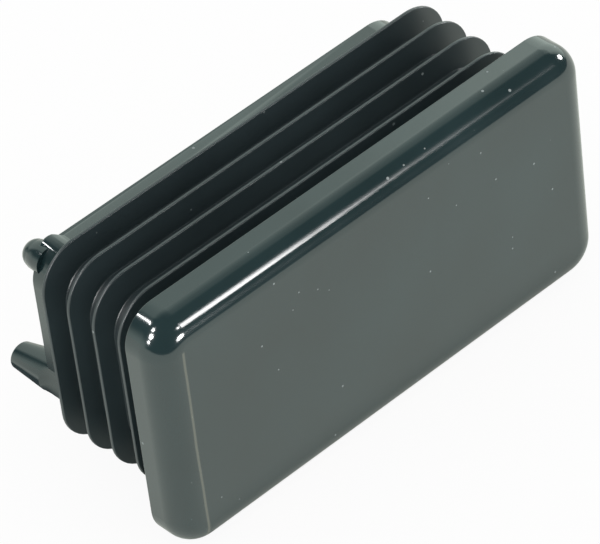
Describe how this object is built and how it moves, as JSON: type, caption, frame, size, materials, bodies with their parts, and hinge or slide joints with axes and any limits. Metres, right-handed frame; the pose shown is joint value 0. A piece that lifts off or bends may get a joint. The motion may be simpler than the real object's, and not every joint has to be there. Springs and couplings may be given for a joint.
{
  "type": "tube end cap",
  "caption": "Ribbed plastic end cap for a rectangular tube: a rounded head, a hollow plug with thin tapered lips all round it, and posts of unequal length at the corners of its rim.",
  "frame": {"origin": "on the tube's axis, in the plane where the head seats on the end of the tube", "axes": "+X along the long side of the tube, +Y along the tube and into it, +Z along its short side, up as the cap lies on a long side"},
  "size_m": [0.06, 0.0305, 0.03],
  "materials": {
    "cap_plastic": "black moulded plastic, satin gloss on the head and the body, duller on the lips"
  },
  "bodies": {
    "root": {"end_cap": "cap_plastic"}
  },
  "joints": []
}
